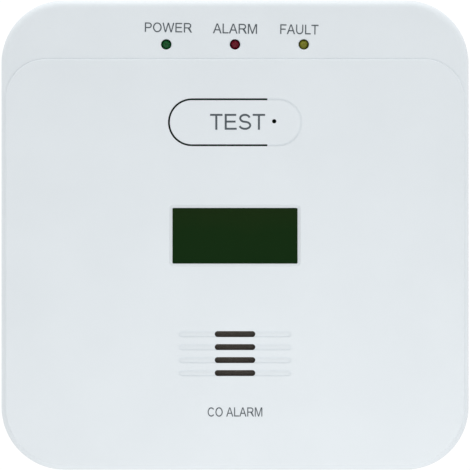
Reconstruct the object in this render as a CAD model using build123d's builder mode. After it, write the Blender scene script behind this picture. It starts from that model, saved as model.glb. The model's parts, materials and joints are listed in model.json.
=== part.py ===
from build123d import *
import math
import os

# Wall-mounted carbon monoxide detector, in millimetres.
# X runs to the right, Z up and -Y out of the wall. The origin is the centre of the wall, on the
# back face of the wall plate, and every depth below is a distance from the wall towards the room.

# Case
case_width = 120.0
case_height = 120.6
depth_besides_cells = 22.9
corner_radius = 16.2
wall = 2.0
fit_gap = 0.2
running_gap = 0.08
seat_gap = 0.05
weld = 0.1
touch = 0.01

# Front cover
band_height = 15.2
panel_rise = 0.5
panel_margin = 1.1
panel_top_radius = 10.3
rim_round = 2.0
panel_round = 0.4
seam_depth = 14.0

# Rear cover
rear_inset = 1.0
rear_stand = 0.8
rear_round = 1.2
lip_height = 2.8
lip_wall = 1.2
lip_gap = 0.15

# Wall plate and its hooks
plate_width = 76.4
plate_height = 52.0
plate_thickness = 2.4
plate_radius = 4.0
plate_edge = 0.4
plate_above_well = 10.0
wall_screw_spacing = 60.0
wall_screw_radius = 2.25
screw_relief_radius = 5.5
screw_relief_depth = 2.8
hook_spacing_x = 36.0
hook_spacing_z = 30.0
hook_width = 8.0
hook_stem = 2.0
hook_lip = 4.0
hook_thickness = 1.8
unhook_travel = 5.0

# Cells and their well
cell_radius = 7.25
cell_body = 49.0
nub_length = 1.3
nub_radius = 2.75
nub_root = 1.0
cell_edge = 0.6
cell_gap = 0.7
contact_thickness = 0.4
spring_length = 4.9
spring_wire = 0.35
spring_radius = 4.2
spring_turns = 4.0
spring_taper = 14.0
contact_half = 5.0
tab_half = 1.0
tab_above_board = 0.8
well_floor_margin = 11.7
well_wall = 1.6

# Battery door
door_thickness = 1.8
door_side_gap = 0.3
door_ledge = 0.8
door_seat_gap = 0.1
door_foot_rise = 1.0
pivot_radius = 1.0
pivot_length = 2.0
barrel_radius = 1.7
pivot_below_well = 2.3
pivot_depth = 2.9
latch_width = 12.0
latch_thickness = 1.2
latch_reach = 3.2
latch_gap = 0.5
grip_count = 4
grip_pitch = 1.8
grip_width = 14.0
grip_height = 1.0
grip_depth = 0.5
grip_below_top = 5.0
pad_thickness = 0.5
pad_margin_x = 12.0
pad_margin_z = 7.0
pad_radius = 1.5

# Circuit board and the screws
board_behind_face = 13.4
board_thickness = 1.6
board_margin = 7.0
board_corner_notch = 10.0
case_screw_inset = 12.0
case_screw_radius = 1.5
case_screw_length = 16.0
case_screw_head_radius = 2.8
case_screw_head = 2.2
case_screw_seat = 10.0
case_screw_gap = 0.02
case_screw_cross = 3.2
case_screw_blade = 0.7
case_screw_recess = 1.2
screw_end_gap = 1.0
screw_overlap = 1.0
rear_boss_radius = 4.5
front_boss_radius = 3.5
boss_joint = 16.0
board_screw_inset = 11.0
board_screw_high = 22.0
board_screw_low = -20.0
board_screw_radius = 1.1
board_screw_head_radius = 2.1
board_screw_head = 1.6
board_screw_length = 7.6
board_screw_cross = 2.4
board_screw_blade = 0.5
board_screw_recess = 0.8
board_boss_radius = 3.0

# TEST tongue
test_below_panel_top = 16.2
tongue_width = 33.9
tongue_height = 11.8
tongue_slot = 0.47
tongue_hinge_x = 8.3
tongue_groove = 0.15
web_thickness = 0.8
web_length = 1.5
tongue_edge = 0.25
post_from_hinge = 18.0
post_radius = 1.5
post_gap = 0.1
post_root = 0.5
rib_span = 7.0
rib_thickness = 1.0
rib_short = 1.5
pinhole_radius = 0.56
pinhole_from_hinge = 1.75
pinhole_rise = 0.25

# Switch under the tongue
switch_size = 6.0
switch_height = 3.2
switch_cover = 0.3
switch_corner = 0.4
plunger_radius = 1.6
plunger_gap = 0.15
plunger_flange = 2.2
plunger_flange_height = 0.9
plunger_travel = 0.5
plunger_top = 7.0
plunger_edge = 0.3

# Indicator lamps
led_spacing = 17.64
led_below_top = 11.4
led_hole_radius = 1.35
led_hole_chamfer = 0.3
led_radius = 1.5
led_flange_radius = 1.9
led_flange = 1.0
led_holder_height = 4.4
led_holder_width = 42.0
led_holder_depth = 5.4
led_holder_radius = 0.8
led_lead = 0.5
led_lead_pitch = 2.54
lead_stub = 0.8

# Display
lcd_below_test = 29.1
window_width = 32.1
window_height = 14.3
window_radius = 0.3
window_chamfer = 0.8
window_recess = 1.0
window_flange = 2.4
window_flange_thickness = 1.0
window_rim = 1.2
window_rim_radius = 1.5
window_seat_radius = 1.0
window_flange_radius = 0.8
glass_margin_x = 2.45
glass_margin_z = 3.85
glass_thickness = 2.0
frame_lip = 0.6
frame_wall_x = 2.3
frame_wall_z = 1.2
strip_width = 2.2
strip_inset = 1.0
backlight_thickness = 3.2
backlight_leg_radius = 1.0

# Grille
grille_below_lcd = 30.2
slot_width = 10.4
slot_height = 1.55
slot_pitch = 3.33
slot_count = 4
groove_width = 28.65
groove_depth = 0.25
screen_radius = 12.5
screen_thickness = 0.5

# Sounder
sounder_radius = 16.0
sounder_bore = 13.7
sounder_ledge_bore = 12.2
sounder_wall = 1.2
sounder_ledge = 3.0
sounder_lid_thickness = 1.2
sounder_hole = 3.5
seal_thickness = 1.8
seal_inner = 13.0
piezo_radius = 13.5
piezo_thickness = 0.3
ceramic_radius = 10.0
ceramic_thickness = 0.25
lead_radius = 0.4
lead_pitch = 2.0
lead_drop = 7.0
lead_slot = 2.0
skirt_above_disc = 2.0

# Gas sensor
sensor_x = 30.0
sensor_z = 24.0
sensor_radius = 9.6
sensor_height = 13.8
sensor_base = 3.0
sensor_base_extra = 0.4
sensor_skin = 0.5
sensor_filter = 1.4
sensor_mouth = 4.0
sensor_pin_radius = 0.5
sensor_pin_circle = 6.0

# Small parts on the back of the board
chip_size = 10.0
chip_height = 1.2
chip_corner = 0.3
chip_x = -12.0
chip_z = 20.0
chip_lead_count = 8
chip_lead_pitch = 1.0
chip_lead_width = 0.4
chip_lead_reach = 1.0
chip_lead_thickness = 0.2
amplifier_x = 10.0
amplifier_z = 2.0
amplifier_width = 5.0
amplifier_tall = 4.0
amplifier_height = 1.5
amplifier_corner = 0.2
capacitor_radius = 3.15
capacitor_height = 11.0
capacitor_edge = 0.4
capacitor_x = -38.0
capacitor_z = 30.0
coil_radius = 4.5
coil_height = 10.0
coil_flange = 1.5
coil_winding_inset = 0.7
coil_x = -38.0
coil_z = 6.0
crystal_x = -12.0
crystal_z = 34.0
crystal_length = 11.0
crystal_width = 4.6
crystal_height = 3.5
resistor_rows = (40.0, -6.0)
resistor_count = 6
resistor_pitch = 4.0
resistor_length = 2.0
resistor_width = 1.25
resistor_height = 0.6

# Side vents
vent_count = 7
vent_pitch = 4.0
vent_length = 9.0
vent_height = 1.6
vent_depth = 24.5

# Faces of the front cover; the case is deeper round thicker cells
case_depth = depth_besides_cells + 2 * cell_radius
half_width = case_width / 2
half_height = case_height / 2
face = case_depth
band = face - panel_rise
panel_under = face - wall
band_under = band - wall
panel_top = half_height - band_height
panel_low = panel_margin - half_height
panel_width = case_width - 2 * panel_margin

# Faces of the circuit board
board_front = face - board_behind_face
board_back = board_front - board_thickness

# Heights of the fittings
test_z = panel_top - test_below_panel_top
lcd_z = test_z - lcd_below_test
grille_z = lcd_z - grille_below_lcd
led_z = half_height - led_below_top
led_places = [(led_spacing * i, led_z) for i in (-1, 0, 1)]

# Cell well, from its lower wall up
well_half = (cell_body + nub_length + spring_length) / 2 + contact_thickness
well_low = well_floor_margin - half_height
well_high = well_low + 4 * cell_radius + 2 * cell_gap
well_mid = (well_low + well_high) / 2
well_height = well_high - well_low
cell_pitch = 2 * cell_radius + cell_gap
cell_high = well_mid + cell_pitch / 2
cell_low = well_mid - cell_pitch / 2
door_inner = rear_stand + door_thickness
ledge_depth = door_inner + door_seat_gap
cell_depth = ledge_depth + cell_gap + cell_radius
well_top = cell_depth + cell_radius + cell_gap
pivot_z = well_low - pivot_below_well

# Wall plate, above the well
plate_low = well_high + plate_above_well
plate_mid = plate_low + plate_height / 2
recess_floor = plate_thickness + fit_gap
recess_inner = recess_floor + wall
recess_low = plate_low - unhook_travel - 2 * fit_gap
recess_high = plate_low + plate_height + 2 * fit_gap
hook_tops = [plate_mid + hook_stem / 2 + s * hook_spacing_z / 2 for s in (-1, 1)]
hook_places = [(s * hook_spacing_x / 2, z) for z in hook_tops for s in (-1, 1)]
wall_screws = [(s * wall_screw_spacing / 2, plate_mid) for s in (-1, 1)]

# Screws
case_screw_x = half_width - case_screw_inset
case_screw_z = half_height - case_screw_inset
case_screws = [(i * case_screw_x, j * case_screw_z) for i in (-1, 1) for j in (-1, 1)]
board_screw_x = half_width - board_screw_inset
board_screws_at = [(i * board_screw_x, z) for i in (-1, 1) for z in (board_screw_high, board_screw_low)]

# TEST switch
post_x = tongue_hinge_x - post_from_hinge
plunger_tip = board_front + plunger_top
post_tip = plunger_tip + post_gap
web_inner = face - web_thickness

# Display stack
window_inner = panel_under - window_flange_thickness
frame_front = window_inner - fit_gap
glass_front = frame_front - frame_lip
glass_back = glass_front - glass_thickness
glass_width = window_width + 2 * glass_margin_x
glass_height = window_height + 2 * glass_margin_z
backlight_height = glass_height - 2 * strip_width - 4 * fit_gap

# Sounder stack
lid_front = panel_under - seal_thickness
lid_back = lid_front - sounder_lid_thickness
piezo_back = board_front + sounder_ledge
sounder_leads_at = [(lead_pitch * i, grille_z - lead_drop) for i in (-1, 0, 1)]

# Gas sensor stack
sensor_base_back = board_back - sensor_base
sensor_back = board_back - sensor_height
sensor_pins_at = [
    (
        sensor_x + sensor_pin_circle * math.cos(math.radians(a)),
        sensor_z + sensor_pin_circle * math.sin(math.radians(a)),
    )
    for a in (90, 210, 330)
]


def depth(distance):
    """Plane parallel to the wall, facing the room, at a distance from the wall."""
    return Plane.XZ.offset(distance)


def rounded(width, height, radius, near, far, at=((0, 0),), mode=Mode.ADD):
    """Plates with rounded corners, parallel to the wall, between two depths."""
    with BuildSketch(depth(near)) as outline:
        with Locations(*at):
            RectangleRounded(width, height, radius)
    extrude(outline.sketch, amount=far - near, mode=mode)


def blocks(width, height, near, far, at=((0, 0),), mode=Mode.ADD):
    """Square-cornered blocks between two depths."""
    with BuildSketch(depth(near)) as outline:
        with Locations(*at):
            Rectangle(width, height)
    extrude(outline.sketch, amount=far - near, mode=mode)


def discs(radius, near, far, at=((0, 0),), mode=Mode.ADD):
    """Round bars square to the wall between two depths."""
    with BuildSketch(depth(near)) as outline:
        with Locations(*at):
            Circle(radius)
    extrude(outline.sketch, amount=far - near, mode=mode)


def stadia(width, height, near, far, at=((0, 0),), mode=Mode.ADD):
    """Bars with round ends between two depths."""
    with BuildSketch(depth(near)) as outline:
        with Locations(*at):
            SlotOverall(width, height)
    extrude(outline.sketch, amount=far - near, mode=mode)


def rods(radius, start, end, z, distance, mode=Mode.ADD):
    """Round bar along X at a height and a depth."""
    with BuildSketch(Plane.YZ.offset(start)) as outline:
        with Locations((-distance, z)):
            Circle(radius)
    extrude(outline.sketch, amount=end - start, mode=mode)


def panel_block(inset, near, far, mode=Mode.ADD):
    """Plate with the raised panel's outline, moved in all round, between two depths."""
    low_radius = corner_radius - panel_margin - inset
    top_radius = panel_top_radius - inset
    right = panel_width / 2 - inset
    low = panel_low + inset
    top = panel_top - inset
    with BuildSketch(depth(near)) as outline:
        with BuildLine():
            FilletPolyline(
                (-right, low),
                (right, low),
                (right, top),
                (-right, top),
                radius=(low_radius, low_radius, top_radius, top_radius),
                close=True,
            )
        make_face()
    extrude(outline.sketch, amount=far - near, mode=mode)


def tongue_block(extra, near, far, mode=Mode.ADD):
    """The part of the TEST stadium left of the hinge line, wider all round by extra."""
    length = tongue_width / 2 + tongue_hinge_x + extra
    with BuildSketch(depth(near)) as outline:
        with Locations((0, test_z)):
            SlotOverall(tongue_width + 2 * extra, tongue_height + 2 * extra)
        with Locations((tongue_hinge_x - length / 2, test_z)):
            Rectangle(length, tongue_height + 2 * extra, mode=Mode.INTERSECT)
    extrude(outline.sketch, amount=far - near, mode=mode)


def face_edges(part, x, z, width, height):
    """Edges on the front face whose middles lie within a window round (x, z)."""
    on_face = part.edges().filter_by_position(Axis.Y, -face - touch, -face + touch)
    return on_face.filter_by(
        lambda e: abs(e.center().X - x) < width / 2 and abs(e.center().Z - z) < height / 2
    )


os.makedirs("parts", exist_ok=True)

# Wall plate: a flat plate with two screw holes and four upward hooks
with BuildPart() as wall_plate:
    rounded(plate_width, plate_height, plate_radius, 0, plate_thickness, [(0, plate_mid)])
    fillet(wall_plate.faces().sort_by(Axis.Y)[0].edges(), radius=plate_edge)
    discs(wall_screw_radius, 0, plate_thickness, wall_screws, Mode.SUBTRACT)
    lip_back = recess_inner + fit_gap
    lip_front = lip_back + hook_thickness
    for x, top in hook_places:
        stem_mid = top - hook_stem / 2
        lip_mid = top + (hook_lip - hook_stem) / 2
        blocks(hook_width, hook_stem, plate_thickness, lip_front, [(x, stem_mid)])
        blocks(hook_width, hook_lip + hook_stem, lip_back, lip_front, [(x, lip_mid)])
wall_plate.part.label = "wall_plate"
export_step(wall_plate.part, "parts/wall_plate.step")

# Rear cover: a tray with the wall plate's recess, the cell well and four screw bosses
rear_width = case_width - 2 * rear_inset
rear_height = case_height - 2 * rear_inset
rear_radius = corner_radius - rear_inset
lip_width = case_width - 2 * wall - 2 * lip_gap
lip_tall = case_height - 2 * wall - 2 * lip_gap
lip_radius = corner_radius - wall - lip_gap
recess_width = plate_width + 4 * fit_gap
recess_mid = (recess_low + recess_high) / 2
recess_height = recess_high - recess_low
well_width = 2 * well_half
opening_half = well_half + door_ledge
hinge_low = pivot_z - pivot_depth + rear_stand - 2 * door_side_gap
with BuildPart() as rear_cover:
    rounded(rear_width, rear_height, rear_radius, rear_stand, seam_depth)
    fillet(rear_cover.faces().sort_by(Axis.Y)[-1].edges(), radius=rear_round)
    rounded(
        rear_width - 2 * wall,
        rear_height - 2 * wall,
        rear_radius - wall,
        rear_stand + wall,
        seam_depth,
        mode=Mode.SUBTRACT,
    )
    with BuildSketch(depth(seam_depth - lip_height)):
        RectangleRounded(lip_width, lip_tall, lip_radius)
        RectangleRounded(
            lip_width - 2 * lip_wall,
            lip_tall - 2 * lip_wall,
            lip_radius - lip_wall,
            mode=Mode.SUBTRACT,
        )
    extrude(amount=2 * lip_height)
    # Recess for the wall plate, long enough below it for the lift off the hooks
    rounded(
        recess_width + 2 * wall,
        recess_height + 2 * wall,
        plate_radius + wall,
        rear_stand + wall / 2,
        recess_inner,
        [(0, recess_mid)],
    )
    relief_tall = 2 * screw_relief_radius + unhook_travel
    reliefs_at = [(x, z - unhook_travel / 2) for x, z in wall_screws]
    for x, z in reliefs_at:
        rounded(
            2 * (screw_relief_radius + wall),
            relief_tall + 2 * wall,
            screw_relief_radius + wall - seat_gap,
            recess_floor,
            recess_floor + screw_relief_depth + wall,
            [(x, z)],
        )
    rounded(
        recess_width,
        recess_height,
        plate_radius,
        rear_stand,
        recess_floor,
        [(0, recess_mid)],
        Mode.SUBTRACT,
    )
    rounded(
        2 * screw_relief_radius,
        relief_tall,
        screw_relief_radius - seat_gap,
        rear_stand,
        recess_floor + screw_relief_depth,
        reliefs_at,
        Mode.SUBTRACT,
    )
    # Slots for the hooks, their upper edges resting on the stems
    slot_tall = hook_stem + unhook_travel + fit_gap + seat_gap
    for x, top in hook_places:
        slot_mid = top + seat_gap - slot_tall / 2
        blocks(
            hook_width + 4 * fit_gap,
            slot_tall,
            recess_floor - wall,
            recess_inner + wall,
            [(x, slot_mid)],
            Mode.SUBTRACT,
        )
    # Cell well with the ledge the door rests on, and the hinge recess below it
    hinge_tall = well_low - hinge_low
    blocks(
        well_width + 2 * well_wall,
        well_height + 2 * well_wall,
        rear_stand + wall / 2,
        well_top + well_wall,
        [(0, well_mid)],
    )
    blocks(
        well_width + 2 * (pivot_length + well_wall),
        hinge_tall + 3 * well_wall,
        rear_stand + wall / 2,
        pivot_depth + barrel_radius + fit_gap + well_wall,
        [(0, (hinge_low + well_low) / 2)],
    )
    blocks(well_width, well_height, rear_stand, well_top, [(0, well_mid)], Mode.SUBTRACT)
    blocks(
        well_width,
        hinge_tall + well_wall,
        rear_stand,
        pivot_depth + barrel_radius + fit_gap,
        [(0, (hinge_low + well_low + well_wall) / 2)],
        Mode.SUBTRACT,
    )
    blocks(
        2 * opening_half,
        well_high + door_ledge - hinge_low,
        rear_stand,
        ledge_depth,
        [(0, (well_high + door_ledge + hinge_low) / 2)],
        Mode.SUBTRACT,
    )
    for s in (-1, 1):
        rods(
            pivot_radius + running_gap,
            s * (well_half - well_wall),
            s * (well_half + pivot_length + fit_gap),
            pivot_z,
            pivot_depth,
            Mode.SUBTRACT,
        )
        blocks(
            contact_thickness + 2 * fit_gap,
            2 * tab_half + 2 * fit_gap,
            well_top - well_wall,
            well_top + 2 * well_wall,
            [(contact_thickness / 2 - well_half, cell_high if s > 0 else cell_low)],
            Mode.SUBTRACT,
        )
    # Screw bosses with deep counterbores
    discs(rear_boss_radius, rear_stand + wall / 2, boss_joint, case_screws)
    discs(
        case_screw_head_radius + fit_gap,
        0,
        case_screw_seat,
        case_screws,
        Mode.SUBTRACT,
    )
    discs(case_screw_radius + fit_gap, case_screw_seat, boss_joint, case_screws, Mode.SUBTRACT)
rear_cover.part.label = "rear_cover"
export_step(rear_cover.part, "parts/rear_cover.step")

# Battery door: a plate on a round barrel with a stub at each end, and a latch tongue on top
door_width = 2 * (opening_half - door_side_gap)
door_top = well_high + door_ledge - 2 * fit_gap
door_foot = pivot_z + door_foot_rise
latch_face = well_high - latch_gap
with BuildPart() as battery_door:
    blocks(
        door_width,
        door_top - door_foot,
        rear_stand,
        door_inner,
        [(0, (door_top + door_foot) / 2)],
    )
    barrel_half = well_half - door_side_gap
    blocks(
        2 * barrel_half,
        door_foot - pivot_z,
        rear_stand,
        door_inner,
        [(0, (door_foot + pivot_z) / 2)],
    )
    rods(barrel_radius, -barrel_half, barrel_half, pivot_z, pivot_depth)
    stub_half = well_half + pivot_length - fit_gap
    rods(pivot_radius, -stub_half, stub_half, pivot_z, pivot_depth)
    blocks(
        latch_width,
        latch_thickness,
        door_inner,
        door_inner + latch_reach,
        [(0, latch_face - latch_thickness / 2)],
    )
    grips_at = [(0, door_top - grip_below_top - grip_pitch * i) for i in range(grip_count)]
    stadia(
        grip_width,
        grip_height,
        rear_stand,
        rear_stand + grip_depth,
        grips_at,
        Mode.SUBTRACT,
    )
battery_door.part.label = "battery_door"
export_step(battery_door.part, "parts/battery_door.step")

# Foam pad on the inside of the door
with BuildPart() as door_pad:
    rounded(
        door_width - 2 * pad_margin_x,
        well_height - 2 * pad_margin_z,
        pad_radius,
        door_inner,
        door_inner + pad_thickness,
        [(0, well_mid)],
    )
door_pad.part.label = "door_pad"
export_step(door_pad.part, "parts/door_pad.step")

# Two cells side by side, end for end
nub_end = well_half - contact_thickness
for name, z, way in (("battery_upper", cell_high, 1), ("battery_lower", cell_low, -1)):
    with BuildPart() as cell:
        body_end = nub_end - nub_length
        rods(cell_radius, way * body_end, way * (body_end - cell_body), z, cell_depth)
        fillet(cell.edges().filter_by(GeomType.CIRCLE), radius=cell_edge)
        rods(nub_radius, way * nub_end, way * (body_end - nub_root), z, cell_depth)
    cell.part.label = name
    export_step(cell.part, f"parts/{name}.step")

# Conical springs against the flat ends of the cells
coil_run = spring_length - 2 * spring_wire - 2 * seat_gap
for name, z, way in (("battery_spring_upper", cell_high, 1), ("battery_spring_lower", cell_low, -1)):
    with BuildPart() as spring:
        with BuildLine() as coil:
            Helix(
                pitch=coil_run / spring_turns,
                height=coil_run,
                radius=spring_radius,
                center=(way * (spring_wire + seat_gap - nub_end), -cell_depth, z),
                direction=(way, 0, 0),
                cone_angle=-spring_taper,
            )
        with BuildSketch(Plane(origin=coil.line @ 0, z_dir=coil.line % 0)):
            Circle(spring_wire)
        sweep(is_frenet=True)
    spring.part.label = name
    export_step(spring.part, f"parts/{name}.step")

# Contact plates with a tab that rises through the board
contact_x = contact_thickness / 2 - well_half
for name, z in (("contact_negative", cell_high), ("contact_positive", cell_low)):
    with BuildPart() as contact:
        blocks(
            contact_thickness,
            2 * contact_half,
            cell_depth - contact_half,
            cell_depth + contact_half,
            [(contact_x, z)],
        )
        blocks(
            contact_thickness,
            2 * tab_half,
            cell_depth,
            board_front + tab_above_board,
            [(contact_x, z)],
        )
    contact.part.label = name
    export_step(contact.part, f"parts/{name}.step")

# Bridge joining the two cells at the other end
with BuildPart() as contact_bridge:
    blocks(
        contact_thickness,
        cell_pitch + 2 * contact_half,
        cell_depth - contact_half,
        cell_depth + contact_half,
        [(-contact_x, well_mid)],
    )
contact_bridge.part.label = "contact_bridge"
export_step(contact_bridge.part, "parts/contact_bridge.step")

# Front cover: a deep shell with a raised panel and a lower band along the top
with BuildPart() as front_cover:
    rounded(case_width, case_height, corner_radius, seam_depth, band)
    fillet(front_cover.faces().sort_by(Axis.Y)[0].edges(), radius=rim_round)
    panel_block(0, band_under + wall / 2, face)
    fillet(front_cover.faces().sort_by(Axis.Y)[0].edges(), radius=panel_round)
    rounded(
        case_width - 2 * wall,
        case_height - 2 * wall,
        corner_radius - wall,
        seam_depth,
        band_under,
        mode=Mode.SUBTRACT,
    )
    panel_block(wall, band_under, panel_under, Mode.SUBTRACT)
    # Tongue cut-out, and the shallow groove that carries its outline on round the fixed end
    cut_extra = tongue_slot / 2
    with BuildSketch(depth(face - tongue_groove)):
        with Locations((0, test_z)):
            SlotOverall(tongue_width + tongue_slot, tongue_height + tongue_slot)
            SlotOverall(
                tongue_width - tongue_slot,
                tongue_height - tongue_slot,
                mode=Mode.SUBTRACT,
            )
    extrude(amount=tongue_groove, mode=Mode.SUBTRACT)
    tongue_block(cut_extra, panel_under, face, Mode.SUBTRACT)
    discs(
        pinhole_radius,
        panel_under,
        face,
        [(tongue_hinge_x + pinhole_from_hinge, test_z + pinhole_rise)],
        Mode.SUBTRACT,
    )
    # Display opening with a chamfered border, and a rim that locates the window behind it
    rounded(
        window_width + 2 * (window_flange + fit_gap + window_rim),
        window_height + 2 * (window_flange + fit_gap + window_rim),
        window_rim_radius,
        panel_under - window_flange_thickness + weld,
        panel_under + weld,
        [(0, lcd_z)],
    )
    rounded(
        window_width + 2 * (window_flange + fit_gap),
        window_height + 2 * (window_flange + fit_gap),
        window_seat_radius,
        panel_under - window_flange_thickness,
        panel_under,
        [(0, lcd_z)],
        Mode.SUBTRACT,
    )
    rounded(
        window_width,
        window_height,
        window_radius,
        panel_under,
        face,
        [(0, lcd_z)],
        Mode.SUBTRACT,
    )
    chamfer(
        face_edges(front_cover, 0, lcd_z, window_width + wall, window_height + wall),
        length=window_chamfer,
    )
    # Grille slots, each in a wider shallow groove
    slots_at = [(0, grille_z + slot_pitch * (i - (slot_count - 1) / 2)) for i in range(slot_count)]
    stadia(groove_width, slot_height, face - groove_depth, face, slots_at, Mode.SUBTRACT)
    stadia(slot_width, slot_height, panel_under, face, slots_at, Mode.SUBTRACT)
    # Lamp holes in the band
    discs(led_hole_radius, band_under, band, led_places, Mode.SUBTRACT)
    lamp_rims = front_cover.edges().filter_by_position(Axis.Y, -band - touch, -band + touch)
    chamfer(
        lamp_rims.filter_by(GeomType.CIRCLE).filter_by(lambda e: e.radius < led_radius),
        length=led_hole_chamfer,
    )
    # Vents in both sides
    vents_at = [(-vent_depth, vent_pitch * (i - (vent_count - 1) / 2)) for i in range(vent_count)]
    for s in (-1, 1):
        with BuildSketch(Plane.YZ.offset(s * (half_width - 1.5 * wall))) as vents:
            with Locations(*vents_at):
                SlotOverall(vent_length, vent_height)
        extrude(vents.sketch, amount=s * 2 * wall, mode=Mode.SUBTRACT)
    # Bosses for the case screws and the board screws
    upper_screws = [p for p in case_screws if p[1] > 0]
    lower_screws = [p for p in case_screws if p[1] < 0]
    discs(front_boss_radius, boss_joint, band_under + wall / 2, upper_screws)
    discs(front_boss_radius, boss_joint, panel_under + wall / 2, lower_screws)
    discs(board_boss_radius, board_front, panel_under + wall / 2, board_screws_at)
    discs(
        case_screw_radius + case_screw_gap,
        boss_joint,
        case_screw_seat + case_screw_length + screw_end_gap,
        case_screws,
        Mode.SUBTRACT,
    )
    discs(
        board_screw_radius + case_screw_gap,
        board_front,
        board_back + board_screw_length + screw_end_gap,
        board_screws_at,
        Mode.SUBTRACT,
    )
front_cover.part.label = "front_cover"
export_step(front_cover.part, "parts/front_cover.step")

# TEST tongue: its web is the living hinge, and a ribbed post reaches the switch
with BuildPart() as test_button:
    tongue_block(-cut_extra, panel_under, face)
    rim = test_button.edges().filter_by_position(Axis.Y, -face - touch, -face + touch)
    fillet(rim.filter_by(lambda e: e.center().X < tongue_hinge_x - weld), radius=tongue_edge)
    blocks(
        web_length,
        tongue_height,
        panel_under,
        web_inner,
        [(tongue_hinge_x - web_length / 2, test_z)],
        Mode.SUBTRACT,
    )
    root = panel_under + post_root
    rib_back = post_tip + rib_short
    discs(post_radius, post_tip, root, [(post_x, test_z)])
    blocks(rib_span, rib_thickness, rib_back, root, [(post_x, test_z)])
    blocks(rib_thickness, rib_span, rib_back, root, [(post_x, test_z)])
test_button.part.label = "test_button"
export_step(test_button.part, "parts/test_button.step")

# Switch: body with a cavity, steel cover plate and sprung plunger
flange_back = board_front + switch_height - plunger_flange_height - fit_gap
with BuildPart() as switch_body:
    rounded(
        switch_size,
        switch_size,
        switch_corner,
        board_front,
        board_front + switch_height,
        [(post_x, test_z)],
    )
    discs(
        plunger_flange + plunger_gap,
        flange_back - plunger_travel - fit_gap,
        board_front + switch_height,
        [(post_x, test_z)],
        Mode.SUBTRACT,
    )
switch_body.part.label = "switch_body"
export_step(switch_body.part, "parts/switch_body.step")

with BuildPart() as switch_plate:
    rounded(
        switch_size,
        switch_size,
        switch_corner,
        board_front + switch_height,
        board_front + switch_height + switch_cover,
        [(post_x, test_z)],
    )
    discs(
        plunger_radius + plunger_gap,
        board_front + switch_height,
        board_front + switch_height + switch_cover,
        [(post_x, test_z)],
        Mode.SUBTRACT,
    )
switch_plate.part.label = "switch_plate"
export_step(switch_plate.part, "parts/switch_plate.step")

with BuildPart() as switch_plunger:
    discs(plunger_flange, flange_back, flange_back + plunger_flange_height, [(post_x, test_z)])
    discs(plunger_radius, flange_back, plunger_tip, [(post_x, test_z)])
    fillet(switch_plunger.faces().sort_by(Axis.Y)[0].edges(), radius=plunger_edge)
switch_plunger.part.label = "switch_plunger"
export_step(switch_plunger.part, "parts/switch_plunger.step")

# Circuit board, notched at the corners round the case screws
lead_places = [(x + s * led_lead_pitch / 2, z) for x, z in led_places for s in (-1, 1)]
with BuildPart() as circuit_board:
    with BuildSketch(depth(board_back)):
        Rectangle(case_width - 2 * board_margin, case_height - 2 * board_margin)
        with GridLocations(case_width - 2 * board_margin, case_height - 2 * board_margin, 2, 2):
            Rectangle(2 * board_corner_notch, 2 * board_corner_notch, mode=Mode.SUBTRACT)
    extrude(amount=board_thickness)
    discs(board_screw_radius + fit_gap, board_back, board_front, board_screws_at, Mode.SUBTRACT)
    discs(led_lead, board_back, board_front, lead_places, Mode.SUBTRACT)
    discs(sensor_pin_radius + fit_gap, board_back, board_front, sensor_pins_at, Mode.SUBTRACT)
    discs(lead_radius + fit_gap, board_back, board_front, sounder_leads_at, Mode.SUBTRACT)
    blocks(
        contact_thickness + 2 * fit_gap,
        2 * tab_half + 2 * fit_gap,
        board_back,
        board_front,
        [(contact_x, cell_high), (contact_x, cell_low)],
        Mode.SUBTRACT,
    )
circuit_board.part.label = "circuit_board"
export_step(circuit_board.part, "parts/circuit_board.step")

# Lamps, their leads and the strip that holds them upright
led_base = board_front + led_holder_height
led_top = band_under - fit_gap
for name, place in zip(("led_green", "led_red", "led_yellow"), led_places):
    with BuildPart() as led:
        discs(led_flange_radius, led_base, led_base + led_flange, [place])
        discs(led_radius, led_base, led_top, [place])
        fillet(led.faces().sort_by(Axis.Y)[0].edges(), radius=led_radius - weld)
    led.part.label = name
    export_step(led.part, f"parts/{name}.step")

with BuildPart() as led_leads:
    blocks(led_lead, led_lead, board_back - lead_stub, led_base, lead_places)
led_leads.part.label = "led_leads"
export_step(led_leads.part, "parts/led_leads.step")

with BuildPart() as led_holder:
    rounded(
        led_holder_width,
        led_holder_depth,
        led_holder_radius,
        board_front,
        led_base,
        [(0, led_z)],
    )
    discs(led_radius + fit_gap, board_front, led_base, led_places, Mode.SUBTRACT)
led_holder.part.label = "led_holder"
export_step(led_holder.part, "parts/led_holder.step")

# Display: clear window, glass cell, frame, light guide and elastomer strips
with BuildPart() as lcd_window:
    rounded(
        window_width + 2 * window_flange,
        window_height + 2 * window_flange,
        window_flange_radius,
        window_inner,
        panel_under,
        [(0, lcd_z)],
    )
    rounded(
        window_width - 2 * seat_gap,
        window_height - 2 * seat_gap,
        window_radius,
        panel_under,
        panel_under + window_recess,
        [(0, lcd_z)],
    )
lcd_window.part.label = "lcd_window"
export_step(lcd_window.part, "parts/lcd_window.step")

with BuildPart() as lcd_glass:
    blocks(glass_width, glass_height, glass_back, glass_front, [(0, lcd_z)])
lcd_glass.part.label = "lcd_glass"
export_step(lcd_glass.part, "parts/lcd_glass.step")

with BuildPart() as lcd_frame:
    rounded(
        glass_width + 2 * (fit_gap + frame_wall_x),
        glass_height + 2 * (fit_gap + frame_wall_z),
        window_flange_radius,
        board_front,
        frame_front,
        [(0, lcd_z)],
    )
    blocks(
        glass_width + 2 * fit_gap,
        glass_height + 2 * fit_gap,
        board_front,
        glass_front,
        [(0, lcd_z)],
        Mode.SUBTRACT,
    )
    blocks(
        window_width + 2 * window_recess,
        window_height + 2 * window_recess,
        glass_front,
        frame_front,
        [(0, lcd_z)],
        Mode.SUBTRACT,
    )
lcd_frame.part.label = "lcd_frame"
export_step(lcd_frame.part, "parts/lcd_frame.step")

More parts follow.
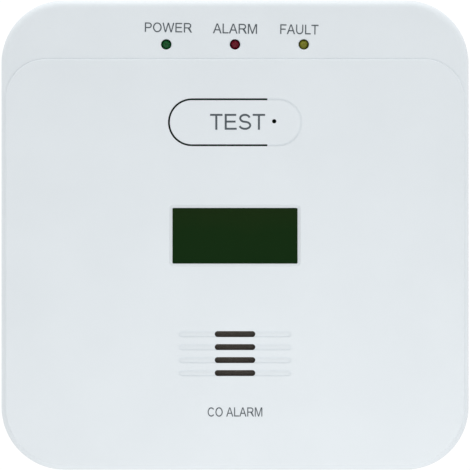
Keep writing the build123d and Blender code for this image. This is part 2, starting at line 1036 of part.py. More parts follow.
strip_rise = (glass_height - strip_width) / 2
with BuildPart() as lcd_strips:
    blocks(
        glass_width - 2 * strip_inset,
        strip_width,
        board_front,
        glass_back,
        [(0, lcd_z - strip_rise), (0, lcd_z + strip_rise)],
    )
lcd_strips.part.label = "lcd_strips"
export_step(lcd_strips.part, "parts/lcd_strips.step")

with BuildPart() as lcd_backlight:
    guide_back = glass_back - backlight_thickness
    guide_width = glass_width - 2 * strip_inset
    blocks(guide_width, backlight_height, guide_back, glass_back, [(0, lcd_z)])
    legs_x = guide_width / 2 - backlight_leg_radius
    legs_z = backlight_height / 2 - backlight_leg_radius
    legs_at = [(i * legs_x, lcd_z + j * legs_z) for i in (-1, 1) for j in (-1, 1)]
    discs(backlight_leg_radius, board_front, guide_back, legs_at)
lcd_backlight.part.label = "lcd_backlight"
export_step(lcd_backlight.part, "parts/lcd_backlight.step")

# Sounder: cup on the board, piezo disc on a ledge, lid with a sound hole, foam seal
grille_at = [(0, grille_z)]
with BuildPart() as sounder_case:
    discs(sounder_radius, board_front, lid_back, grille_at)
    discs(sounder_bore, piezo_back, lid_back, grille_at, Mode.SUBTRACT)
    discs(sounder_ledge_bore, board_front + sounder_wall, piezo_back, grille_at, Mode.SUBTRACT)
    stadia(
        2 * lead_pitch + lead_slot,
        lead_slot,
        board_front,
        board_front + sounder_wall,
        [(0, grille_z - lead_drop)],
        Mode.SUBTRACT,
    )
sounder_case.part.label = "sounder_case"
export_step(sounder_case.part, "parts/sounder_case.step")

with BuildPart() as sounder_lid:
    discs(sounder_radius, lid_back, lid_front, grille_at)
    discs(sounder_bore - fit_gap, piezo_back + skirt_above_disc, lid_back, grille_at)
    discs(sounder_ledge_bore, piezo_back + skirt_above_disc, lid_back, grille_at, Mode.SUBTRACT)
    discs(sounder_hole, lid_back, lid_front, grille_at, Mode.SUBTRACT)
sounder_lid.part.label = "sounder_lid"
export_step(sounder_lid.part, "parts/sounder_lid.step")

with BuildPart() as piezo_disc:
    discs(piezo_radius, piezo_back, piezo_back + piezo_thickness, grille_at)
piezo_disc.part.label = "piezo_disc"
export_step(piezo_disc.part, "parts/piezo_disc.step")

with BuildPart() as piezo_ceramic:
    discs(ceramic_radius, piezo_back - ceramic_thickness, piezo_back, grille_at)
piezo_ceramic.part.label = "piezo_ceramic"
export_step(piezo_ceramic.part, "parts/piezo_ceramic.step")

with BuildPart() as sounder_leads:
    discs(lead_radius, board_back - lead_stub, piezo_back - ceramic_thickness, sounder_leads_at)
sounder_leads.part.label = "sounder_leads"
export_step(sounder_leads.part, "parts/sounder_leads.step")

with BuildPart() as sounder_seal:
    discs(sounder_radius - fit_gap, lid_front, panel_under, grille_at)
    discs(seal_inner, lid_front, panel_under, grille_at, Mode.SUBTRACT)
sounder_seal.part.label = "sounder_seal"
export_step(sounder_seal.part, "parts/sounder_seal.step")

# Felt screen glued behind the grille
with BuildPart() as dust_screen:
    discs(screen_radius, panel_under - screen_thickness, panel_under, grille_at)
dust_screen.part.label = "dust_screen"
export_step(dust_screen.part, "parts/dust_screen.step")

# Gas sensor: base on the board, steel can with a mouth, filter disc, cell and pins
sensor_at = [(sensor_x, sensor_z)]
with BuildPart() as sensor_base_ring:
    discs(sensor_radius + sensor_base_extra, sensor_base_back, board_back, sensor_at)
sensor_base_ring.part.label = "sensor_base"
export_step(sensor_base_ring.part, "parts/sensor_base.step")

filter_back = sensor_back + sensor_skin
with BuildPart() as sensor_can:
    discs(sensor_radius, sensor_back, sensor_base_back, sensor_at)
    fillet(sensor_can.faces().sort_by(Axis.Y)[-1].edges(), radius=sensor_skin - seat_gap)
    discs(sensor_radius - sensor_skin, filter_back, sensor_base_back, sensor_at, Mode.SUBTRACT)
    discs(sensor_mouth, sensor_back, filter_back, sensor_at, Mode.SUBTRACT)
sensor_can.part.label = "sensor_can"
export_step(sensor_can.part, "parts/sensor_can.step")

with BuildPart() as sensor_filter_disc:
    discs(
        sensor_radius - sensor_skin - seat_gap,
        filter_back,
        filter_back + sensor_filter,
        sensor_at,
    )
sensor_filter_disc.part.label = "sensor_filter"
export_step(sensor_filter_disc.part, "parts/sensor_filter.step")

with BuildPart() as sensor_cell:
    discs(
        sensor_radius - sensor_skin - seat_gap,
        filter_back + sensor_filter,
        sensor_base_back,
        sensor_at,
    )
sensor_cell.part.label = "sensor_cell"
export_step(sensor_cell.part, "parts/sensor_cell.step")

with BuildPart() as sensor_pins:
    discs(sensor_pin_radius, board_back, board_front + lead_stub, sensor_pins_at)
sensor_pins.part.label = "sensor_pins"
export_step(sensor_pins.part, "parts/sensor_pins.step")

# Microcontroller and its leads, which step down from the body to the board
chip_back = board_back - chip_height
with BuildPart() as microcontroller:
    rounded(
        chip_size,
        chip_size,
        chip_corner,
        chip_back,
        board_back - chip_lead_thickness / 2,
        [(chip_x, chip_z)],
    )
microcontroller.part.label = "microcontroller"
export_step(microcontroller.part, "parts/microcontroller.step")

with BuildPart() as microcontroller_leads:
    row = [chip_lead_pitch * (i - (chip_lead_count - 1) / 2) for i in range(chip_lead_count)]
    riser = chip_size / 2 + chip_lead_thickness / 2
    foot = chip_size / 2 + chip_lead_reach / 2
    for s in (-1, 1):
        for t in row:
            for wide, tall, near, reach in (
                (chip_lead_thickness, chip_lead_width, chip_back + chip_height / 2, riser),
                (chip_lead_reach, chip_lead_width, board_back - chip_lead_thickness, foot),
            ):
                blocks(wide, tall, near, board_back, [(chip_x + s * reach, chip_z + t)])
                blocks(tall, wide, near, board_back, [(chip_x + t, chip_z + s * reach)])
microcontroller_leads.part.label = "microcontroller_leads"
export_step(microcontroller_leads.part, "parts/microcontroller_leads.step")

# Horn driver chip
with BuildPart() as driver_chip:
    rounded(
        amplifier_width,
        amplifier_tall,
        amplifier_corner,
        board_back - amplifier_height,
        board_back,
        [(amplifier_x, amplifier_z)],
    )
driver_chip.part.label = "driver_chip"
export_step(driver_chip.part, "parts/driver_chip.step")

# Reservoir capacitor
with BuildPart() as capacitor:
    discs(capacitor_radius, board_back - capacitor_height, board_back, [(capacitor_x, capacitor_z)])
    fillet(capacitor.edges().filter_by(GeomType.CIRCLE), radius=capacitor_edge)
capacitor.part.label = "capacitor"
export_step(capacitor.part, "parts/capacitor.step")

# Step-up coil of the horn, wound between two flanges
with BuildPart() as horn_coil:
    coil_at = [(coil_x, coil_z)]
    coil_back = board_back - coil_height
    discs(coil_radius, board_back - coil_flange, board_back, coil_at)
    discs(coil_radius - coil_winding_inset, coil_back, board_back, coil_at)
    discs(coil_radius, coil_back, coil_back + coil_flange, coil_at)
horn_coil.part.label = "horn_coil"
export_step(horn_coil.part, "parts/horn_coil.step")

# Crystal in its flat can
with BuildPart() as crystal:
    stadia(
        crystal_length,
        crystal_width,
        board_back - crystal_height,
        board_back,
        [(crystal_x, crystal_z)],
    )
crystal.part.label = "crystal"
export_step(crystal.part, "parts/crystal.step")

# Small resistors in two rows on the back of the board
with BuildPart() as chip_resistors:
    with BuildSketch(depth(board_back - resistor_height)):
        with Locations(*[(0, z) for z in resistor_rows]):
            with GridLocations(resistor_pitch, resistor_pitch, resistor_count, 1):
                Rectangle(resistor_length, resistor_width)
    extrude(amount=resistor_height)
chip_resistors.part.label = "chip_resistors"
export_step(chip_resistors.part, "parts/chip_resistors.step")

# Case screws, from the back through the rear bosses into the front ones
with BuildPart() as housing_screws:
    discs(
        case_screw_head_radius,
        case_screw_seat - case_screw_head,
        case_screw_seat,
        case_screws,
    )
    discs(
        case_screw_radius,
        case_screw_seat - screw_overlap,
        case_screw_seat + case_screw_length,
        case_screws,
    )
    head_back = case_screw_seat - case_screw_head
    recess_end = head_back + case_screw_recess
    for wide, tall in ((case_screw_cross, case_screw_blade), (case_screw_blade, case_screw_cross)):
        blocks(wide, tall, head_back, recess_end, case_screws, Mode.SUBTRACT)
housing_screws.part.label = "housing_screws"
export_step(housing_screws.part, "parts/housing_screws.step")

# Board screws, from behind the board into the cover's bosses
with BuildPart() as board_screws:
    discs(board_screw_head_radius, board_back - board_screw_head, board_back, board_screws_at)
    discs(
        board_screw_radius,
        board_back - board_screw_head / 2,
        board_back + board_screw_length,
        board_screws_at,
    )
    screw_back = board_back - board_screw_head
    slot_end = screw_back + board_screw_recess
    for wide, tall in ((board_screw_cross, board_screw_blade), (board_screw_blade, board_screw_cross)):
        blocks(wide, tall, screw_back, slot_end, board_screws_at, Mode.SUBTRACT)
board_screws.part.label = "board_screws"
export_step(board_screws.part, "parts/board_screws.step")
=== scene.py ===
import bpy
import json
import math
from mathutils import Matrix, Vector


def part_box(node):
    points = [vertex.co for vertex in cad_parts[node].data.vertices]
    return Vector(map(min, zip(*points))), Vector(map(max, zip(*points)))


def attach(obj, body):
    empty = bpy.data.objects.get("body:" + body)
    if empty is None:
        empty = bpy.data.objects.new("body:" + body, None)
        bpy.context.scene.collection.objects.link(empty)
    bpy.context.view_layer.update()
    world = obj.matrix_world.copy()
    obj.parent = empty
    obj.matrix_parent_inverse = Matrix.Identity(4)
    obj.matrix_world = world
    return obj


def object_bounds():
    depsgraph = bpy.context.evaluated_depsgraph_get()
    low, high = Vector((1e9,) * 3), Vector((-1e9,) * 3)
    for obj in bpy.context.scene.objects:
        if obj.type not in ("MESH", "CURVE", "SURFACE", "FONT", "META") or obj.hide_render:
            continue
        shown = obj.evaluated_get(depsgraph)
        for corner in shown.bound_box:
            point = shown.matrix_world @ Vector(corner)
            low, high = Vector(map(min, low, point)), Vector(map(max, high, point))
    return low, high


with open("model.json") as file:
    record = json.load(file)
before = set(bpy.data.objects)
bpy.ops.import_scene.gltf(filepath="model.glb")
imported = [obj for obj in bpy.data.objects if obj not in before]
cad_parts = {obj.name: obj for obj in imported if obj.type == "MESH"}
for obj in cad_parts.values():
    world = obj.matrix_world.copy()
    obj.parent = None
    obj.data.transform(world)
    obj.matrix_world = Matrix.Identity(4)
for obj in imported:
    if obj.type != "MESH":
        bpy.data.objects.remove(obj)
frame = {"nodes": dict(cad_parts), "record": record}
record = frame["record"]
cad_low, cad_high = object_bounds()

# Places read from the frame, in metres
panel_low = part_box("front_cover")[0]
tongue_low, tongue_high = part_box("test_button")
lamp_names = ("led_green", "led_red", "led_yellow")
lamp_boxes = {name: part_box(name) for name in lamp_names}
window_low, window_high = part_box("lcd_window")

# The face, the lower band that the lamps sit under, and the middles of the fittings
wall = 0.002
lamp_gap = 0.0002
face_y = panel_low.y
band_y = lamp_boxes["led_green"][0].y - lamp_gap - wall
tongue_z = (tongue_low.z + tongue_high.z) / 2
window_z = (window_low.z + window_high.z) / 2
window_half = 0.00715
lamp_radius = 0.0015

# Printing: thickness of the ink, heights of the capitals, and the words' widths and middles
ink_thickness = 0.00004
lamp_cap = 0.0025
lamp_words = (
    ("legend_power", "POWER", 0.0121, (-0.01706, 0.0532)),
    ("legend_alarm", "ALARM", 0.0113, (0.0, 0.0529)),
    ("legend_fault", "FAULT", 0.0098, (0.0165, 0.0527)),
)
lamp_row_lean = math.radians(-0.83)
test_cap = 0.0041
test_width = 0.0141
test_shift = (0.00067, 0.0001)
purpose_cap = 0.0024
purpose_width = 0.0140
purpose_place = (0.0, -0.04535)

# Stage: the floor, and the long lens that is square to the face
floor_half = 6.0
floor_drop = 0.42
lens = 300.0
sensor = 36.0
shown_width = 0.12076
widest_y = -0.0347


# ---------------------------------------------------------------- materials

def new_material(name):
    """A node material with its Principled shader ready to set."""
    mat = bpy.data.materials.new(name)
    mat.use_nodes = True
    shader = mat.node_tree.nodes["Principled BSDF"]
    return mat, mat.node_tree, shader


def node(tree, kind, **settings):
    """Adds a node and sets its plain properties."""
    made = tree.nodes.new(kind)
    for key, value in settings.items():
        setattr(made, key, value)
    return made


def noise(tree, scale, detail=3.0, roughness=0.5):
    """Noise that stays fixed to the object; its scale is in cycles per metre."""
    place = node(tree, "ShaderNodeTexCoord")
    grain = node(tree, "ShaderNodeTexNoise")
    grain.inputs["Scale"].default_value = scale
    grain.inputs["Detail"].default_value = detail
    grain.inputs["Roughness"].default_value = roughness
    tree.links.new(place.outputs["Object"], grain.inputs["Vector"])
    return grain.outputs["Fac"]


def spread(tree, source, low, high):
    """Maps the part of noise where most of it lies, 0.3 to 0.7, on to a range."""
    mapped = node(tree, "ShaderNodeMapRange")
    mapped.inputs["From Min"].default_value = 0.3
    mapped.inputs["From Max"].default_value = 0.7
    mapped.inputs["To Min"].default_value = low
    mapped.inputs["To Max"].default_value = high
    tree.links.new(source, mapped.inputs["Value"])
    return mapped.outputs["Result"]


def tint(tree, source, stops):
    """Colour ramp over a 0 to 1 value; stops are (place, linear colour)."""
    ramp = node(tree, "ShaderNodeValToRGB")
    ramp.color_ramp.elements[0].position = stops[0][0]
    ramp.color_ramp.elements[0].color = (*stops[0][1], 1)
    ramp.color_ramp.elements[1].position = stops[-1][0]
    ramp.color_ramp.elements[1].color = (*stops[-1][1], 1)
    for place, colour in stops[1:-1]:
        stop = ramp.color_ramp.elements.new(place)
        stop.color = (*colour, 1)
    tree.links.new(source, ramp.inputs["Fac"])
    return ramp.outputs["Color"]


def relief(tree, shader, height, depth):
    """Bump of a real depth in metres."""
    bump = node(tree, "ShaderNodeBump")
    bump.inputs["Strength"].default_value = 1.0
    bump.inputs["Distance"].default_value = depth
    tree.links.new(height, bump.inputs["Height"])
    tree.links.new(bump.outputs["Normal"], shader.inputs["Normal"])


def moulded(name, dark, light, rough, grain_scale, grain_depth, patch_scale=60.0):
    """Moulded plastic: spark-eroded grain, faint flow tone and uneven polish."""
    mat, tree, shader = new_material(name)
    colour = tint(tree, noise(tree, patch_scale, detail=4.0), [(0.35, dark), (0.65, light)])
    tree.links.new(colour, shader.inputs["Base Color"])
    gloss = spread(tree, noise(tree, patch_scale * 6), *rough)
    tree.links.new(gloss, shader.inputs["Roughness"])
    grain = noise(tree, grain_scale, detail=2.0, roughness=0.6)
    relief(tree, shader, grain, grain_depth)
    shader.inputs["IOR"].default_value = 1.5
    return mat


def metal(name, dark, light, rough, scale=900.0):
    """Plated or rolled metal with fine tone and polish variation."""
    mat, tree, shader = new_material(name)
    colour = tint(tree, noise(tree, scale, detail=5.0), [(0.35, dark), (0.65, light)])
    tree.links.new(colour, shader.inputs["Base Color"])
    tree.links.new(spread(tree, noise(tree, scale * 3), *rough), shader.inputs["Roughness"])
    relief(tree, shader, noise(tree, scale * 6, detail=2.0), depth=0.000004)
    shader.inputs["Metallic"].default_value = 1.0
    return mat


def axis_distance(tree, centre):
    """Distance from an axis along Y through a centre, in metres."""
    place = node(tree, "ShaderNodeTexCoord")
    split = node(tree, "ShaderNodeSeparateXYZ")
    tree.links.new(place.outputs["Object"], split.inputs["Vector"])
    squares = []
    for axis, middle in (("X", centre.x), ("Z", centre.z)):
        shift = node(tree, "ShaderNodeMath", operation="SUBTRACT")
        shift.inputs[1].default_value = middle
        tree.links.new(split.outputs[axis], shift.inputs[0])
        square = node(tree, "ShaderNodeMath", operation="POWER")
        square.inputs[1].default_value = 2.0
        tree.links.new(shift.outputs[0], square.inputs[0])
        squares.append(square.outputs[0])
    total = node(tree, "ShaderNodeMath", operation="ADD")
    tree.links.new(squares[0], total.inputs[0])
    tree.links.new(squares[1], total.inputs[1])
    root = node(tree, "ShaderNodeMath", operation="SQRT")
    tree.links.new(total.outputs[0], root.inputs[0])
    return root.outputs[0]


def lamp_material(name, piece, core, body, rim_shade):
    """Tinted resin, dark over the chip, clearer round it, and darkened again at the rim by painted shade.
    """
    mat, tree, shader = new_material(name)
    low, high = lamp_boxes[piece]
    far = node(tree, "ShaderNodeMath", operation="DIVIDE")
    far.inputs[1].default_value = lamp_radius
    tree.links.new(axis_distance(tree, (low + high) / 2), far.inputs[0])
    # The outer stop is painted shade: the resin darkens towards its rim, where the wall round the lamp
    # shades it.
    colour = tint(tree, far.outputs[0], [(0.05, core), (0.4, body), (0.62, body), (0.9, rim_shade)])
    tree.links.new(colour, shader.inputs["Base Color"])
    tree.links.new(spread(tree, noise(tree, scale=2500.0), low=0.2, high=0.34), shader.inputs["Roughness"])
    relief(tree, shader, noise(tree, scale=1500.0, detail=2.0), depth=0.00001)
    shader.inputs["Subsurface Weight"].default_value = 0.25
    shader.inputs["Subsurface Radius"].default_value = (0.0006, 0.0006, 0.0006)
    shader.inputs["Subsurface Scale"].default_value = 1.0
    shader.inputs["Specular IOR Level"].default_value = 0.3
    return mat


def window_material():
    """Smoked display window: deep green, turning olive towards its upper edge."""
    mat, tree, shader = new_material("display_window")
    place = node(tree, "ShaderNodeTexCoord")
    split = node(tree, "ShaderNodeSeparateXYZ")
    tree.links.new(place.outputs["Object"], split.inputs["Vector"])
    height = node(tree, "ShaderNodeMapRange")
    height.inputs["From Min"].default_value = window_z - window_half
    height.inputs["From Max"].default_value = window_z + window_half
    tree.links.new(split.outputs["Z"], height.inputs["Value"])
    wave = spread(tree, noise(tree, scale=110.0, detail=2.0), low=-0.08, high=0.08)
    total = node(tree, "ShaderNodeMath", operation="ADD")
    tree.links.new(height.outputs["Result"], total.inputs[0])
    tree.links.new(wave, total.inputs[1])
    stops = [
        (0.0, (0.0060, 0.0238, 0.0052)),
        (0.55, (0.0064, 0.0240, 0.0050)),
        (0.75, (0.0080, 0.0244, 0.0052)),
        (1.0, (0.0098, 0.0248, 0.0056)),
    ]
    tree.links.new(tint(tree, total.outputs[0], stops), shader.inputs["Base Color"])
    tree.links.new(spread(tree, noise(tree, scale=400.0), low=0.05, high=0.09), shader.inputs["Roughness"])
    relief(tree, shader, noise(tree, scale=160.0, detail=1.0), depth=0.0000012)
    shader.inputs["IOR"].default_value = 1.49
    shader.inputs["Specular IOR Level"].default_value = 0.04
    return mat


def ink_material():
    """Screen-printed blue-grey ink with slightly uneven cover."""
    mat, tree, shader = new_material("grey_ink")
    stops = [(0.35, (0.058, 0.074, 0.088)), (0.65, (0.072, 0.090, 0.104))]
    cover = noise(tree, scale=1800.0, detail=4.0)
    tree.links.new(tint(tree, cover, stops), shader.inputs["Base Color"])
    tree.links.new(spread(tree, noise(tree, scale=900.0), low=0.5, high=0.62), shader.inputs["Roughness"])
    relief(tree, shader, noise(tree, scale=5000.0, detail=2.0), depth=0.000004)
    return mat


def felt_material():
    """Brown felt: tangled fibres with a soft sheen."""
    mat, tree, shader = new_material("brown_felt")
    stops = [(0.3, (0.050, 0.040, 0.032)), (0.7, (0.105, 0.086, 0.070))]
    fibre = noise(tree, scale=4200.0, detail=8.0, roughness=0.7)
    tree.links.new(tint(tree, fibre, stops), shader.inputs["Base Color"])
    matt = spread(tree, noise(tree, scale=1500.0), low=0.85, high=0.97)
    tree.links.new(matt, shader.inputs["Roughness"])
    nap = noise(tree, scale=5200.0, detail=6.0, roughness=0.7)
    relief(tree, shader, nap, depth=0.00015)
    shader.inputs["Sheen Weight"].default_value = 0.15
    return mat


def board_material():
    """Green solder mask, paler along the tracks under it."""
    mat, tree, shader = new_material("solder_mask")
    place = node(tree, "ShaderNodeTexCoord")
    track = node(tree, "ShaderNodeTexBrick", offset=0.37, squash=0.6)
    track.inputs["Scale"].default_value = 220.0
    track.inputs["Mortar Size"].default_value = 0.04
    track.inputs["Color1"].default_value = (0.010, 0.080, 0.028, 1)
    track.inputs["Color2"].default_value = (0.013, 0.100, 0.036, 1)
    track.inputs["Mortar"].default_value = (0.028, 0.190, 0.075, 1)
    turn = node(tree, "ShaderNodeMapping")
    turn.inputs["Rotation"].default_value = (math.radians(90), 0, 0)
    tree.links.new(place.outputs["Object"], turn.inputs["Vector"])
    tree.links.new(turn.outputs["Vector"], track.inputs["Vector"])
    tree.links.new(track.outputs["Color"], shader.inputs["Base Color"])
    tree.links.new(spread(tree, noise(tree, scale=700.0), low=0.25, high=0.4), shader.inputs["Roughness"])
    relief(tree, shader, track.outputs["Fac"], depth=0.00002)
    return mat


def cell_material():
    """Glossy dark blue sleeve of a cell."""
    mat, tree, shader = new_material("cell_sleeve")
    stops = [(0.35, (0.012, 0.030, 0.070)), (0.65, (0.018, 0.042, 0.095))]
    tree.links.new(tint(tree, noise(tree, scale=260.0, detail=4.0), stops), shader.inputs["Base Color"])
    tree.links.new(spread(tree, noise(tree, scale=800.0), low=0.18, high=0.3), shader.inputs["Roughness"])
    relief(tree, shader, noise(tree, scale=300.0, detail=2.0), depth=0.00002)
    shader.inputs["Coat Weight"].default_value = 0.3
    return mat


def foam_material(name, dark, light):
    """Foam or rubber with open pores."""
    mat, tree, shader = new_material(name)
    tone = noise(tree, scale=2500.0, detail=6.0)
    tree.links.new(tint(tree, tone, [(0.35, dark), (0.65, light)]), shader.inputs["Base Color"])
    gloss = spread(tree, noise(tree, scale=1200.0), low=0.8, high=0.95)
    tree.links.new(gloss, shader.inputs["Roughness"])
    pores = noise(tree, scale=3000.0, detail=4.0, roughness=0.7)
    relief(tree, shader, pores, depth=0.00012)
    return mat


materials = {
    "case_plastic": moulded(
        "case_plastic",
        dark=(0.719, 0.766, 0.797),
        light=(0.733, 0.780, 0.811),
        rough=(0.42, 0.5),
        grain_scale=5200.0,
        grain_depth=0.000006,
    ),
    "black_plastic": moulded(
        "black_plastic",
        dark=(0.014, 0.014, 0.015),
        light=(0.022, 0.022, 0.023),
        rough=(0.38, 0.5),
        grain_scale=2600.0,
        grain_depth=0.00001,
    ),
    "window": window_material(),
    "lcd": window_material(),
    "light_guide": moulded(
        "light_guide",
        dark=(0.60, 0.64, 0.60),
        light=(0.68, 0.72, 0.68),
        rough=(0.15, 0.25),
        grain_scale=900.0,
        grain_depth=0.000003,
    ),
    "elastomer": foam_material("elastomer", dark=(0.20, 0.03, 0.08), light=(0.30, 0.05, 0.12)),
    "led_green": lamp_material(
        "green_lamp",
        "led_green",
        core=(0.010, 0.090, 0.024),
        body=(0.022, 0.215, 0.058),
        rim_shade=(0.008, 0.078, 0.024),
    ),
    "led_red": lamp_material(
        "red_lamp",
        "led_red",
        core=(0.215, 0.008, 0.018),
        body=(0.310, 0.017, 0.038),
        rim_shade=(0.105, 0.006, 0.015),
    ),
    "led_yellow": lamp_material(
        "yellow_lamp",
        "led_yellow",
        core=(0.290, 0.250, 0.018),
        body=(0.430, 0.430, 0.052),
        rim_shade=(0.245, 0.235, 0.036),
    ),
    "nickel": metal("nickel", dark=(0.60, 0.58, 0.54), light=(0.72, 0.70, 0.66), rough=(0.22, 0.34)),
    "screw_steel": metal(
        "zinc_steel", dark=(0.45, 0.45, 0.44), light=(0.62, 0.61, 0.58), rough=(0.3, 0.45)
    ),
    "brass": metal(
        "rolled_brass", dark=(0.62, 0.44, 0.17), light=(0.75, 0.56, 0.25), rough=(0.25, 0.38)
    ),
    "ceramic": moulded(
        "fired_ceramic",
        dark=(0.60, 0.57, 0.50),
        light=(0.70, 0.67, 0.60),
        rough=(0.5, 0.65),
        grain_scale=1500.0,
        grain_depth=0.00001,
    ),
    "wire": moulded(
        "red_wire",
        dark=(0.30, 0.02, 0.015),
        light=(0.38, 0.03, 0.02),
        rough=(0.4, 0.5),
        grain_scale=2500.0,
        grain_depth=0.00001,
    ),
    "foam": foam_material("black_foam", dark=(0.012, 0.012, 0.013), light=(0.030, 0.030, 0.032)),
    "felt": felt_material(),
    "cell_sleeve": cell_material(),
    "board": board_material(),
}

for part in record["subparts"]:
    owner = frame["nodes"][part["node"]]
    owner.data.materials.clear()
    owner.data.materials.append(materials[part["material_slot"]])


# ---------------------------------------------------------------- printing

def arc(x, z, rx, rz, start, end, steps=14):
    """Points along an elliptical arc between two angles in degrees."""
    turns = [math.radians(start + (end - start) * i / steps) for i in range(steps + 1)]
    return [(x + rx * math.cos(t), z + rz * math.sin(t)) for t in turns]


def ribbon(path, thick):
    """Closed outline round an open path, with an even stroke."""
    left, right = [], []
    for i, (x, z) in enumerate(path):
        ax, az = path[max(i - 1, 0)]
        bx, bz = path[min(i + 1, len(path) - 1)]
        half = 0.5 * thick / math.hypot(bx - ax, bz - az)
        left.append((x + half * (az - bz), z + half * (bx - ax)))
        right.append((x - half * (az - bz), z - half * (bx - ax)))
    return left + right[::-1]


# Plain capitals one unit high: advance width and outlines, an outline inside another being a hole
stroke = 0.125
letters = {
    " ": (0.39, []),
    "A": (0.93, [
        [(0, 0), (0.39, 1), (0.54, 1), (0.93, 0), (0.785, 0), (0.675, 0.3), (0.255, 0.3), (0.145, 0)],
        [(0.295, 0.41), (0.635, 0.41), (0.465, 0.88)],
    ]),
    "C": (1.0, [ribbon(arc(0.52, 0.5, 0.4, 0.45, 38, 322, 28), stroke)]),
    "E": (0.93, [[
        (0.11, 0), (0.11, 1), (0.84, 1), (0.84, 0.88), (0.24, 0.88), (0.24, 0.575), (0.8, 0.575),
        (0.8, 0.455), (0.24, 0.455), (0.24, 0.12), (0.87, 0.12), (0.87, 0),
    ]]),
    "F": (0.85, [[
        (0.11, 0), (0.11, 1), (0.8, 1), (0.8, 0.88), (0.24, 0.88), (0.24, 0.56), (0.72, 0.56),
        (0.72, 0.44), (0.24, 0.44), (0.24, 0),
    ]]),
    "L": (0.78, [[(0.1, 0), (0.1, 1), (0.23, 1), (0.23, 0.12), (0.74, 0.12), (0.74, 0)]]),
    "M": (1.16, [[
        (0.09, 0), (0.09, 1), (0.28, 1), (0.58, 0.17), (0.88, 1), (1.07, 1), (1.07, 0), (0.945, 0),
        (0.945, 0.84), (0.64, 0), (0.52, 0), (0.215, 0.84), (0.215, 0),
    ]]),
    "O": (1.09, [
        arc(0.545, 0.5, 0.475, 0.515, 0, 350, 35),
        arc(0.545, 0.5, 0.34, 0.395, 0, 350, 35),
    ]),
    "P": (0.93, [
        [(0.11, 0), (0.11, 1), *arc(0.56, 0.7, 0.31, 0.3, 90, -90), (0.24, 0.4), (0.24, 0)],
        [(0.24, 0.88), *arc(0.56, 0.7, 0.18, 0.18, 90, -90), (0.24, 0.52)],
    ]),
    "R": (1.01, [
        [
            (0.11, 0), (0.11, 1), *arc(0.6, 0.71, 0.31, 0.29, 90, -62), (1.0, 0), (0.84, 0),
            (0.53, 0.43), (0.24, 0.43), (0.24, 0),
        ],
        [(0.24, 0.88), *arc(0.6, 0.71, 0.18, 0.17, 90, -90), (0.24, 0.54)],
    ]),
    "S": (0.93, [ribbon(
        arc(0.465, 0.7225, 0.3, 0.2225, 12, 270)[:-1] + arc(0.465, 0.2775, 0.34, 0.2225, 90, -168),
        stroke,
    )]),
    "T": (0.85, [[
        (0.03, 0.88), (0.03, 1), (0.82, 1), (0.82, 0.88), (0.49, 0.88), (0.49, 0), (0.36, 0),
        (0.36, 0.88),
    ]]),
    "U": (1.01, [ribbon([(0.165, 1), *arc(0.505, 0.39, 0.34, 0.335, 180, 360), (0.845, 1)], stroke)]),
    "W": (1.32, [[
        (0.01, 1), (0.15, 1), (0.35, 0.18), (0.59, 1), (0.73, 1), (0.97, 0.18), (1.17, 1), (1.31, 1),
        (1.04, 0), (0.9, 0), (0.66, 0.8), (0.42, 0), (0.28, 0),
    ]]),
}


def printed(name, words, width, cap, centre, y, body, lean=0.0):
    """Flat printed word facing the room, fitted to a width and a capital height."""
    curve = bpy.data.curves.new(name, "CURVE")
    curve.dimensions = "2D"
    curve.fill_mode = "BOTH"
    curve.extrude = 0.5 * ink_thickness
    pen = 0.0
    for letter in words:
        advance, outlines = letters[letter]
        for outline in outlines:
            spline = curve.splines.new("POLY")
            spline.points.add(len(outline) - 1)
            spline.use_cyclic_u = True
            for point, (x, z) in zip(spline.points, outline):
                point.co = (pen + x, z, 0, 1)
        pen += advance
    text = bpy.data.objects.new(name, curve)
    bpy.context.collection.objects.link(text)
    bpy.context.view_layer.update()
    dg = bpy.context.evaluated_depsgraph_get()
    mesh = bpy.data.meshes.new_from_object(text.evaluated_get(dg))
    bpy.data.objects.remove(text)
    xs = [v.co.x for v in mesh.vertices]
    ys = [v.co.y for v in mesh.vertices]
    middle = Vector(((min(xs) + max(xs)) / 2, (min(ys) + max(ys)) / 2))
    across = width / (max(xs) - min(xs))
    up = cap / (max(ys) - min(ys))
    for v in mesh.vertices:
        right = (v.co.x - middle.x) * across
        high = (v.co.y - middle.y) * up
        out = -v.co.z - 0.5 * ink_thickness
        v.co = Vector((
            centre[0] + right * math.cos(lean) - high * math.sin(lean),
            y + out,
            centre[1] + right * math.sin(lean) + high * math.cos(lean),
        ))
    mesh.materials.clear()
    mesh.materials.append(ink)
    piece = bpy.data.objects.new(name, mesh)
    bpy.context.collection.objects.link(piece)
    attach(piece, body)


ink = ink_material()
for name, words, width, centre in lamp_words:
    printed(name, words, width, lamp_cap, centre, band_y, "housing", lamp_row_lean)
test_place = (test_shift[0], tongue_z + test_shift[1])
printed("legend_test", "TEST", test_width, test_cap, test_place, face_y, "test_button")
printed("legend_purpose", "CO ALARM", purpose_width, purpose_cap, purpose_place, face_y, "housing")


# ---------------------------------------------------------------- stage, light and camera

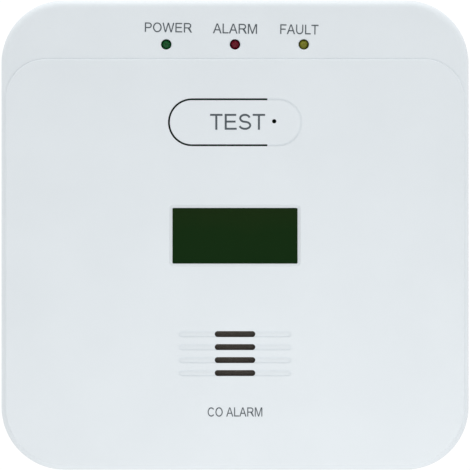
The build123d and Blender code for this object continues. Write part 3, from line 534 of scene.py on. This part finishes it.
def pale_floor():
    """A wide pale floor under the object."""
    bpy.ops.mesh.primitive_plane_add(size=2 * floor_half, location=(0, 0, cad_low.z - floor_drop))
    floor = bpy.context.object
    floor.name = "floor"
    mat, tree, shader = new_material("pale_floor")
    stops = [(0.4, (0.86, 0.86, 0.86)), (0.6, (0.88, 0.88, 0.88))]
    tree.links.new(tint(tree, noise(tree, scale=8.0), stops), shader.inputs["Base Color"])
    shader.inputs["Roughness"].default_value = 0.9
    floor.data.materials.append(mat)


def room_light():
    """White room: full white behind the object, brightest at its sides, dimmer by the viewer."""
    world = bpy.data.worlds.new("room")
    bpy.context.scene.world = world
    world.use_nodes = True
    tree = world.node_tree
    back = tree.nodes["Background"]
    place = node(tree, "ShaderNodeTexCoord")
    split = node(tree, "ShaderNodeSeparateXYZ")
    tree.links.new(place.outputs["Generated"], split.inputs["Vector"])
    turned = node(tree, "ShaderNodeMapRange")
    turned.inputs["From Min"].default_value = -1.0
    turned.inputs["From Max"].default_value = 1.0
    tree.links.new(split.outputs["Y"], turned.inputs["Value"])
    stops = [(0.0, 0.60), (0.2, 0.69), (0.35, 0.98), (0.5, 1.25), (0.6, 1.08), (1.0, 1.05)]
    grey = tint(tree, turned.outputs["Result"], [(at, (v, v, v)) for at, v in stops])
    tree.links.new(grey, back.inputs["Color"])


def soft_box(name, place, target, size, power):
    """Square area light aimed at a point, not itself seen by the camera."""
    light = bpy.data.lights.new(name, "AREA")
    light.shape = "SQUARE"
    light.size = size
    light.energy = power
    lamp = bpy.data.objects.new(name, light)
    bpy.context.collection.objects.link(lamp)
    lamp.location = place
    lamp.visible_camera = False
    lamp.rotation_euler = (Vector(target) - Vector(place)).to_track_quat("-Z", "Y").to_euler()


def camera():
    """Long lens square to the face, far enough off for the shown width to fill the frame."""
    data = bpy.data.cameras.new("camera")
    data.lens = lens
    data.sensor_width = sensor
    data.clip_start = 0.05
    data.clip_end = 50.0
    eye = bpy.data.objects.new("camera", data)
    bpy.context.collection.objects.link(eye)
    eye.location = (0, widest_y - shown_width * lens / sensor, 0)
    eye.rotation_euler = (math.radians(90), 0, 0)
    bpy.context.scene.camera = eye


pale_floor()
room_light()
soft_box("overhead", place=(0, -0.12, 0.75), target=(0, -0.02, 0), size=0.5, power=2.0)
soft_box("low_right", place=(0.04, -0.28, -0.14), target=(0, 0, 0), size=0.12, power=0.17)
camera()
bpy.context.scene.view_settings.view_transform = "Standard"
